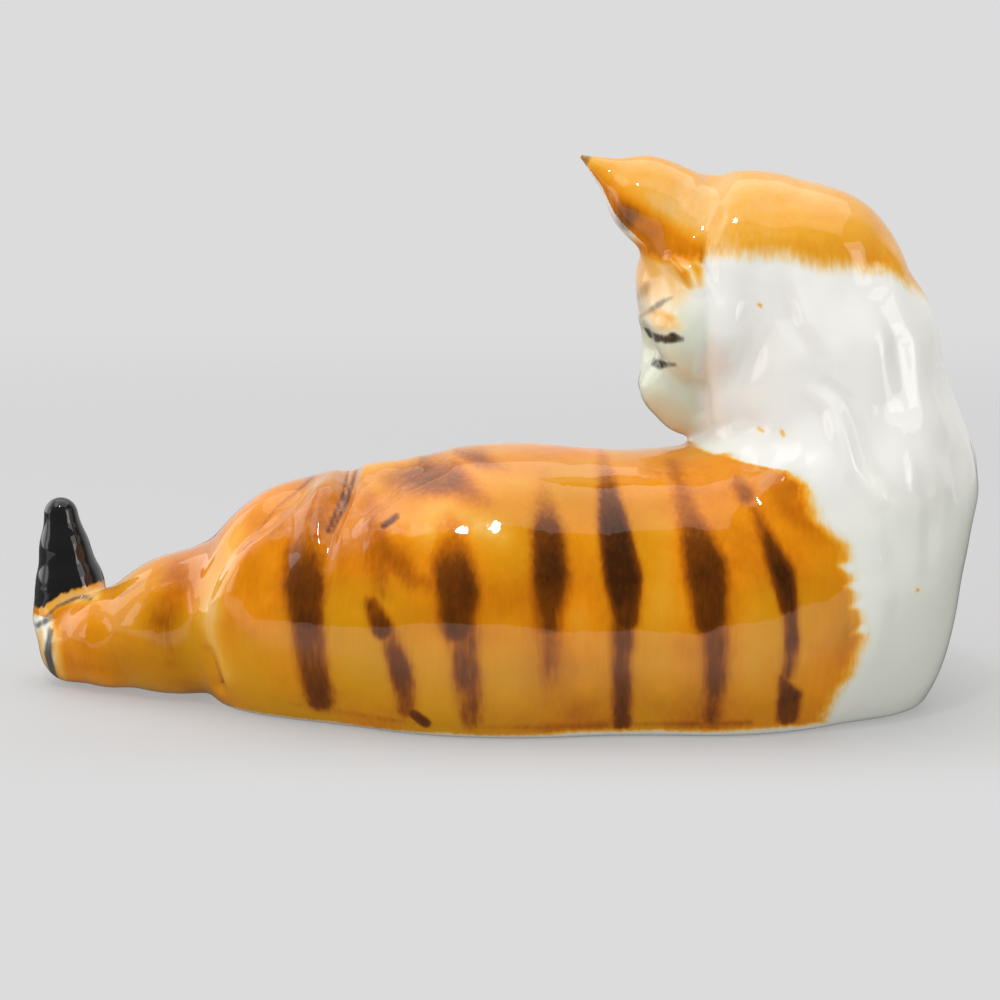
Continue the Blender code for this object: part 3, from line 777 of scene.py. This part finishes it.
def orange_depth(points, normals, near):
    """How deep inside the orange each point is, in millimetres. It is negative on the white."""
    plane = points[:, [0, 2]]
    x, _, z = points.T
    orange = np.where(z > CAP_BOTTOM, cap_distance(points), saddle_distance(points))
    on_face = (z > FACE_BOTTOM) & (x < FACE_BACK)
    orange = np.where(on_face, np.minimum(orange, z - FACE_TOP), orange)
    rim = np.where(x > -64, np.interp(x, [-60, 0, 15, 70], [0.9, 1.1, 2.0, 2.2]), -8.0)
    orange = np.minimum(orange, 3.0 * (z - rim))
    on_bend = (x < -90) & (z < 17)
    orange = np.where(on_bend, np.minimum(orange, (x - TAIL_FRONT) * 1.5 + 0.8), orange)
    orange -= 7 * strokes(plane, WHITE_HAIRS) * near
    return orange - HIDE * ear_hollow(points, normals)


def white_underside(points):
    """1 on the white socks and the white belly."""
    x, y, z = points.T
    socks = smooth_step(y, 44, 53) * (1 - smooth_step(z, 17, 24)) * (x > -78)
    belly = smooth_step(y, 22, 32) * (1 - smooth_step(z, 8, 14)) * (x > -70)
    return np.maximum(socks, belly)


def stripe_and_shade_darkness(points, near):
    plane = points[:, [0, 2]]
    z = points[:, 2]
    # Stripes, and on the near side painted shade in the haunch's creases and dent.
    stripe_and_shade = np.maximum(strokes(plane, STRIPES_AND_CREASE_SHADE) * near, strokes(plane, FAR_STRIPES) * (1 - near)) * (z < 72)
    stripe_and_shade *= 1.25 - 0.25 * smooth_step(z, 22, 32)
    return stripe_and_shade


def face_marks(points, normals):
    marks = np.maximum(muzzle_marks(points), 0.6 * ear_rim(points, normals))
    # Eye and cheek marks on both cheeks, with the painted shade in the crease below the ear.
    return np.maximum(both_cheeks(points, normals, FACE_MARKS_AND_CREASE_SHADE), marks)


def ochre_marks(points, normals, near):
    plane = points[:, [0, 2]]
    marks = np.maximum(strokes(plane, SPECKS), strokes(plane, TAIL_SAND)) * near
    return np.maximum(both_cheeks(points, normals, OCHRE_MARKS), marks)


def ivory_tint_and_shade(points, orange):
    """The ivory tint of the white on the muzzle, low on the chest and beside the orange; on the lower face
    its grey-green is also painted shade.
    """
    x, _, z = points.T
    # On the lower face, turned down from the light, the grey-green is painted shade as well as ivory tint.
    face = 0.75 * (1 - smooth_step(x, 42, 48)) * smooth_step(z, 62, 68) * (1 - smooth_step(z, 90, 100))
    chest = 0.30 * smooth_step(x, 66, 88) * (1 - smooth_step(z, 40, 66))
    saddle = 0.35 * (1 - smooth_step(np.abs(orange), 0.0, 5.0)) * (z < 72)
    return np.maximum(np.maximum(face, chest), saddle)


def paint(mesh, points, normals):
    """Amounts of each colour on the points of a piece, as attributes for its material."""
    plane = points[:, [0, 2]]
    x, _, z = points.T
    near = 1 - smooth_step(normals[:, 1], 0.1, 0.6)
    orange = orange_depth(points, normals, near)
    saddle = np.clip(orange, -EDGE_REACH, EDGE_REACH) - HIDE * white_underside(points)
    tip = np.where(x < -98.5, z - np.interp(x, *TAIL_TIP_EDGE), -EDGE_REACH)
    tone = 0.535 - 0.06 * smooth_step(z, 34, 58) - 0.15 * smooth_step(z, 96, 114)
    # Deeper orange where laid thick, and as painted shade on the near ear and the shoulder.
    tone += 0.16 * strokes(plane, DEEP_ORANGE_AND_SHADE) * near
    low_down = 0.08 + 0.30 * (1 - smooth_step(z, 16, 44)) * smooth_step(x, -100, -60)
    layers = {
        "tone": tone,
        "saddle": np.clip(saddle, -EDGE_REACH, EDGE_REACH),
        "stripe_and_shade": np.clip(stripe_and_shade_darkness(points, near), 0, 1),
        "face": np.clip(face_marks(points, normals), 0, 1),
        "ochre": np.clip(ochre_marks(points, normals, near), 0, 1),
        "pale": np.clip(strokes(plane, PALE_AND_RIDGE_HIGHLIGHT) * near, 0, 1),
        "black": np.clip(tip, -EDGE_REACH, EDGE_REACH),
        "slate": strokes(plane, TAIL_RINGS) * near,
        "olive": np.clip(low_down + 0.5 * lattice_noise(points, 15.0, 9), 0, 0.8),
        "ivory_and_shade": ivory_tint_and_shade(points, orange),
        "bare": ((normals[:, 2] < -0.7) & (z < 1.0)).astype(float),
    }
    for name, amount in layers.items():
        mesh.attributes.new(name, "FLOAT", "POINT").data.foreach_set("value", amount.astype(np.float32))


# ---------------------------------------------------------------- pieces

GLAZES = {}


def stand_for(node, bm):
    """Make a piece that replaces one CAD node."""
    piece = piece_from_bmesh(node + "_glazed", bm)
    piece.data.materials.append(GLAZES["porcelain"])
    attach(piece, "root")
    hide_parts(node)
    return piece


def cut_casting(node, low, high, step, seam):
    """A casting beyond one seam, and its slip joint."""
    bm = skin_bmesh(low, high, step)
    joint = bm.copy()
    keep_side(bm, seam, SLIP / 2, True)
    stand_for(node, bm)
    keep_side(joint, seam, -SLIP / 2, True)
    keep_side(joint, seam, SLIP / 2, False)
    stand_for(node + "_slip_joint", joint)


def ear_seam(side):
    return HEAD_CENTRE + EAR_SEAM * ear_axis(side), ear_axis(side)


def make_ears():
    for side, node in ((1, "left_ear"), (-1, "right_ear")):
        point, axis = ear_seam(side)
        middle = ear_root(side) + EAR_BOX_MIDDLE * axis
        cut_casting(node, middle - EAR_BOX_HALF, middle + EAR_BOX_HALF, FINE_STEP, (point, axis))


def make_tail():
    cut_casting("tail", (-121, -10, -3), (-68, 52, 52), MEDIUM_STEP, TAIL_SEAM)


def make_head():
    bm = skin_bmesh((24, -40, 48), (116, 52, 134), MEDIUM_STEP)
    for side in (1, -1):
        keep_side(bm, ear_seam(side), -SLIP / 2, False)
    joint = bm.copy()
    keep_side(bm, NECK_SEAM, SLIP / 2, True)
    stand_for("head_shell", bm)
    keep_side(joint, NECK_SEAM, -SLIP / 2, True)
    keep_side(joint, NECK_SEAM, SLIP / 2, False)
    stand_for("neck_slip_joint", joint)


def make_legs():
    names = ("right_hind_leg", "left_hind_leg", "left_foreleg", "right_foreleg")
    whole = skin_bmesh((-80, 41, -3), (112, 78, 42), MEDIUM_STEP)
    joint = whole.copy()
    keep_side(whole, LEG_SEAM, SLIP / 2, True)
    keep_side(joint, LEG_SEAM, -SLIP / 2, True)
    keep_side(joint, LEG_SEAM, SLIP / 2, False)
    for source, suffix in ((whole, ""), (joint, "_slip_joint")):
        count = len(islands(source))
        if count != len(names):
            raise ValueError(f"{count} bodies beyond the legs' seam")
        for index, name in enumerate(names):
            leg = source.copy()
            keep_body(leg, islands(leg)[index])
            stand_for(name + suffix, leg)
        source.free()


def make_torso():
    bm = skin_bmesh((-84, -44, -3), (116, 48, 86), COARSE_STEP)
    keep_side(bm, NECK_SEAM, -SLIP / 2, False)
    keep_side(bm, TAIL_SEAM, -SLIP / 2, False)
    keep_side(bm, LEG_SEAM, -SLIP / 2, False)
    joint = bm.copy()
    plate = bm.copy()
    keep_side(bm, BASE_SEAM, SLIP / 2, True)
    stand_for("torso_shell", bm)
    keep_side(joint, BASE_SEAM, -SLIP / 2, True)
    keep_side(joint, BASE_SEAM, SLIP / 2, False)
    stand_for("base_slip_joint", joint)
    keep_side(plate, BASE_SEAM, -SLIP / 2, False)
    stand_for("base_plate", plate)


# ---------------------------------------------------------------- materials

class Nodes:
    """The nodes of a material or world, and short ways to add to them."""

    def __init__(self, owner):
        self.owner = owner
        owner.use_nodes = True
        self.tree = owner.node_tree
        self.shader = self.tree.nodes.get("Principled BSDF")

    def new(self, kind, **inputs):
        """A node, with values for its inputs. An underscore stands for a space in an input's name."""
        node = self.tree.nodes.new("ShaderNode" + kind)
        self.fill(node, **inputs)
        return node

    def fill(self, node, **inputs):
        for name, value in inputs.items():
            node.inputs[name.replace("_", " ")].default_value = value

    def link(self, source, target):
        self.tree.links.new(source, target)

    def attribute(self, name):
        node = self.new("Attribute")
        node.attribute_name = name
        return node.outputs["Fac"]

    def math(self, operation, *values):
        node = self.new("Math")
        node.operation = operation
        for socket, value in zip(node.inputs, values):
            if isinstance(value, (int, float)):
                socket.default_value = value
            else:
                self.link(value, socket)
        return node.outputs[0]

    def noise(self, scale, detail=3.0, stretch=(1.0, 1.0, 1.0)):
        """Noise in the object's own space. Scale is in blobs per metre, stretched per axis."""
        mapping = self.new("Mapping", Scale=stretch)
        self.link(self.new("TexCoord").outputs["Object"], mapping.inputs["Vector"])
        node = self.new("TexNoise", Scale=scale, Detail=detail)
        self.link(mapping.outputs["Vector"], node.inputs["Vector"])
        return node.outputs["Fac"]

    def wobble(self, *settings):
        """Noise about zero."""
        return self.math("SUBTRACT", self.noise(*settings), 0.5)

    def plus(self, base, value, weight):
        """Base and a share of value."""
        return self.math("MULTIPLY_ADD", value, weight, base)

    def rise(self, value, low, high):
        """A soft rise from 0 to 1 as value goes from low to high."""
        node = self.new("MapRange", From_Min=low, From_Max=high)
        node.interpolation_type = "SMOOTHSTEP"
        self.link(value, node.inputs["Value"])
        return node.outputs["Result"]

    def ramp(self, value, stops):
        node = self.new("ValToRGB")
        elements = node.color_ramp.elements
        while len(elements) > 1:
            elements.remove(elements[-1])
        elements[0].position, elements[0].color = stops[0][0], (*stops[0][1], 1.0)
        for place, colour in stops[1:]:
            elements.new(place).color = (*colour, 1.0)
        self.link(value, node.inputs["Fac"])
        return node.outputs["Color"]

    def mix(self, factor, first, second):
        node = self.new("Mix")
        node.data_type = "RGBA"
        self.link(factor, node.inputs[0])
        for socket, value in ((node.inputs[6], first), (node.inputs[7], second)):
            if isinstance(value, tuple):
                socket.default_value = (*value, 1.0)
            else:
                self.link(value, socket)
        return node.outputs[2]

    def mix_shader(self, *values):
        node = self.new("MixShader")
        for socket, value in zip(node.inputs, values):
            self.link(value, socket)
        return node.outputs[0]


WHITE = (0.86, 0.85, 0.80)
PIGMENTS = [
    (0.0, WHITE),
    (0.14, (0.86, 0.66, 0.36)),
    (0.24, (0.84, 0.50, 0.17)),
    (0.34, (0.83, 0.39, 0.035)),
    (0.48, (0.78, 0.255, 0.003)),
    (0.62, (0.50, 0.130, 0.001)),
    (0.80, (0.17, 0.042, 0.001)),
    (1.0, (0.045, 0.012, 0.001)),
]
TIP_BLACK = (0.013, 0.013, 0.014)
# Grey-green ivory, darker than the white: a tint, and on the lower face painted shade.
IVORY_AND_SHADE = (0.61, 0.68, 0.50)
OLIVE = (0.62, 0.30, 0.004)
EYE_BROWN = (0.050, 0.035, 0.016)
SLATE = (0.085, 0.08, 0.078)
BISCUIT = (0.78, 0.74, 0.66)


def painted_porcelain():
    """White porcelain, brushed with one orange-brown pigment in many strengths, under a clear glaze. In
    places the strengths and the ivory are painted shade and painted highlight.
    """
    nodes = Nodes(bpy.data.materials.new("painted_porcelain"))
    hair = nodes.wobble(460.0, 2.0, (2.0, 2.0, 0.35))
    strand = nodes.wobble(1300.0, 2.0, (1.0, 1.0, 0.12))
    cloud = nodes.wobble(48.0, 3.0)
    edge = nodes.plus(nodes.attribute("saddle"), cloud, 5.0)
    edge = nodes.plus(edge, hair, 2.4)
    edge = nodes.plus(edge, strand, 1.0)
    covered = nodes.rise(edge, -2.6, 3.0)
    orange = nodes.plus(nodes.attribute("tone"), cloud, 0.36)
    orange = nodes.plus(orange, hair, 0.06)
    orange = nodes.plus(orange, strand, 0.05)
    orange = nodes.plus(orange, nodes.wobble(130.0, 2.0), 0.12)
    # Paler where the orange is brushed thin, and as a painted highlight on the haunch's top ridge.
    orange = nodes.plus(orange, nodes.attribute("pale"), -0.26)
    # Stripes darken the orange, and so does the painted shade in the haunch's creases.
    stripe_and_shade = nodes.plus(nodes.attribute("stripe_and_shade"), hair, 0.14)
    stripe_and_shade = nodes.plus(stripe_and_shade, strand, 0.06)
    stripe_and_shade = nodes.math("MULTIPLY", nodes.rise(stripe_and_shade, 0.05, 1.25), 0.54)
    density = nodes.math("MULTIPLY", covered, nodes.math("ADD", orange, stripe_and_shade))
    density = nodes.math("MAXIMUM", density, nodes.math("MULTIPLY", nodes.attribute("ochre"), 0.6))
    colour = nodes.ramp(density, PIGMENTS)
    middling = nodes.math("SUBTRACT", nodes.rise(density, 0.25, 0.42), nodes.rise(density, 0.56, 0.76))
    colour = nodes.mix(nodes.math("MULTIPLY", nodes.attribute("olive"), middling), colour, OLIVE)
    bare_white = nodes.math("SUBTRACT", 1.0, nodes.rise(density, 0.0, 0.2))
    # Ivory tint over the white, and painted shade on the lower face.
    colour = nodes.mix(nodes.math("MULTIPLY", nodes.attribute("ivory_and_shade"), bare_white), colour, IVORY_AND_SHADE)
    face = nodes.plus(nodes.attribute("face"), hair, 0.35)
    colour = nodes.mix(nodes.rise(face, 0.15, 0.95), colour, EYE_BROWN)
    slate = nodes.plus(nodes.attribute("slate"), hair, 0.4)
    colour = nodes.mix(nodes.rise(slate, 0.1, 0.9), colour, SLATE)
    black = nodes.plus(nodes.attribute("black"), hair, 2.0)
    colour = nodes.mix(nodes.rise(black, -0.4, 0.4), colour, TIP_BLACK)
    colour = nodes.mix(nodes.attribute("bare"), colour, BISCUIT)
    nodes.link(colour, nodes.shader.inputs["Base Color"])
    nodes.fill(nodes.shader, Roughness=0.5, Specular_IOR_Level=0.05)
    nodes.fill(nodes.shader, Coat_Weight=1.0, Coat_Roughness=0.045, Coat_IOR=1.52)
    ripple = nodes.new("Bump", Distance=0.0006, Strength=0.16)
    nodes.link(nodes.noise(170.0, 2.0), ripple.inputs["Height"])
    nodes.link(ripple.outputs["Normal"], nodes.shader.inputs["Coat Normal"])
    return nodes.owner


# ---------------------------------------------------------------- studio

PAPER = (0.716, 0.716, 0.716)
DARK_ROOM = (0.012, 0.012, 0.012)
ROOM_FILL = (0.40, 0.40, 0.40)
TABLE_GREY = (0.32, 0.32, 0.32)
TABLE_GLOW = (0.26, 0.26, 0.26)
TABLE_IN_GLAZE = (0.10, 0.10, 0.09)
BACKDROP_DIRECTION = (-0.35, 0.94, 0.0)


def make_floor():
    """A white table that glows a little, as if lit from all round, and fades into the backdrop."""
    bpy.ops.mesh.primitive_plane_add(size=6.0)
    floor = bpy.context.object
    floor.name = "studio_floor"
    nodes = Nodes(bpy.data.materials.new("studio_paper"))
    nodes.fill(nodes.shader, Base_Color=(*TABLE_GREY, 1.0), Roughness=0.6, Specular_IOR_Level=0.2)
    nodes.fill(nodes.shader, Emission_Color=(*TABLE_GLOW, 1.0), Emission_Strength=1.0)
    parts = nodes.new("SeparateXYZ")
    nodes.link(nodes.new("TexCoord").outputs["Object"], parts.inputs["Vector"])
    behind = nodes.rise(parts.outputs["Y"], 0.15, 0.9)
    in_front = nodes.rise(nodes.math("MULTIPLY", parts.outputs["Y"], -1.0), 0.045, 0.095)
    fade = nodes.math("MAXIMUM", behind, in_front)
    reflected = nodes.new("Emission", Color=(*TABLE_IN_GLAZE, 1.0))
    far = nodes.new("Emission", Color=(*PAPER, 1.0))
    in_glaze = nodes.new("LightPath").outputs["Is Glossy Ray"]
    table = nodes.mix_shader(in_glaze, nodes.shader.outputs[0], reflected.outputs[0])
    surface = nodes.mix_shader(fade, table, far.outputs[0])
    nodes.link(surface, nodes.tree.nodes["Material Output"].inputs["Surface"])
    floor.data.materials.append(nodes.owner)


def area_light(name, place, target, width, height, radiance):
    """A rectangular lamp with an even face of that radiance."""
    data = bpy.data.lights.new(name, "AREA")
    data.shape = "RECTANGLE"
    data.size = width
    data.size_y = height
    data.energy = radiance * math.pi * width * height
    lamp = bpy.data.objects.new(name, data)
    bpy.context.scene.collection.objects.link(lamp)
    lamp.location = place
    lamp.rotation_euler = (Vector(target) - Vector(place)).to_track_quat("-Z", "Y").to_euler()
    return lamp


def make_lights():
    for width, depth, radiance in ((0.5, 0.48, 1.0), (0.68, 0.64, 1.0), (0.86, 0.82, 1.0), (1.04, 1.0, 0.9)):
        area_light("overhead_softbox", (0.0, 0.14, 0.80), (0.0, 0.14, 0.0), width, depth, radiance)
    area_light("left_softbox", (-0.95, 0.50, 0.40), (0.0, 0.0, 0.08), 0.8, 0.8, 1.1)
    area_light("right_softbox", (0.85, -0.50, 0.50), (0.05, 0.0, 0.08), 0.45, 0.5, 1.8)
    area_light("raised_softbox", (-0.42, -0.16, 0.78), (0.0, 0.0, 0.10), 0.34, 0.34, 1.0)
    area_light("left_window", (-1.40, -0.25, 0.40), (0.0, 0.0, 0.07), 0.30, 0.6, 1.4)
    area_light("right_window", (1.2, -0.80, 0.42), (0.05, 0.0, 0.07), 0.34, 0.55, 2.2)
    area_light("key_flash", (-0.15, -0.55, 1.25), (0.02, 0.0, 0.06), 0.07, 0.10, 90.0)
    fill = area_light("front_fill", (-0.70, -0.90, 0.75), (0.02, 0.0, 0.06), 0.7, 0.5, 4.2)
    fill.visible_glossy = False


def make_world():
    """A pale backdrop behind the cat and a dim room behind the camera, with soft light from all round."""
    world = bpy.data.worlds.new("studio")
    bpy.context.scene.world = world
    nodes = Nodes(world)
    toward_backdrop = nodes.new("VectorMath")
    toward_backdrop.operation = "DOT_PRODUCT"
    toward_backdrop.inputs[1].default_value = BACKDROP_DIRECTION
    nodes.link(nodes.new("TexCoord").outputs["Generated"], toward_backdrop.inputs[0])
    spread = nodes.rise(toward_backdrop.outputs["Value"], -0.10, 0.30)
    front = nodes.mix(nodes.new("LightPath").outputs["Is Diffuse Ray"], DARK_ROOM, ROOM_FILL)
    background = nodes.tree.nodes["Background"]
    nodes.link(nodes.mix(spread, front, PAPER), background.inputs["Color"])
    background.inputs["Strength"].default_value = 1.0


CAMERA_LENS = 85.0
CAMERA_SENSOR = 36.0
CAMERA_DISTANCE = 0.5556
CAMERA_ELEVATION = 10.0
CAMERA_TARGET = Vector(((-1.6 + FRAME_SHIFT[0]) * MM, FRAME_SHIFT[1] * MM, 49.5 * MM))


def make_camera():
    data = bpy.data.cameras.new("camera")
    data.lens = CAMERA_LENS
    data.sensor_width = CAMERA_SENSOR
    camera = bpy.data.objects.new("camera", data)
    bpy.context.scene.collection.objects.link(camera)
    elevation = math.radians(CAMERA_ELEVATION)
    back = Vector((0.0, -math.cos(elevation), math.sin(elevation)))
    camera.location = CAMERA_TARGET + back * CAMERA_DISTANCE
    camera.rotation_euler = (-back).to_track_quat("-Z", "Y").to_euler()
    bpy.context.scene.camera = camera


make_camera()
GLAZES["porcelain"] = painted_porcelain()
make_torso()
make_head()
make_ears()
make_tail()
make_legs()
make_floor()
make_lights()
make_world()
bpy.context.scene.view_settings.view_transform = "Standard"
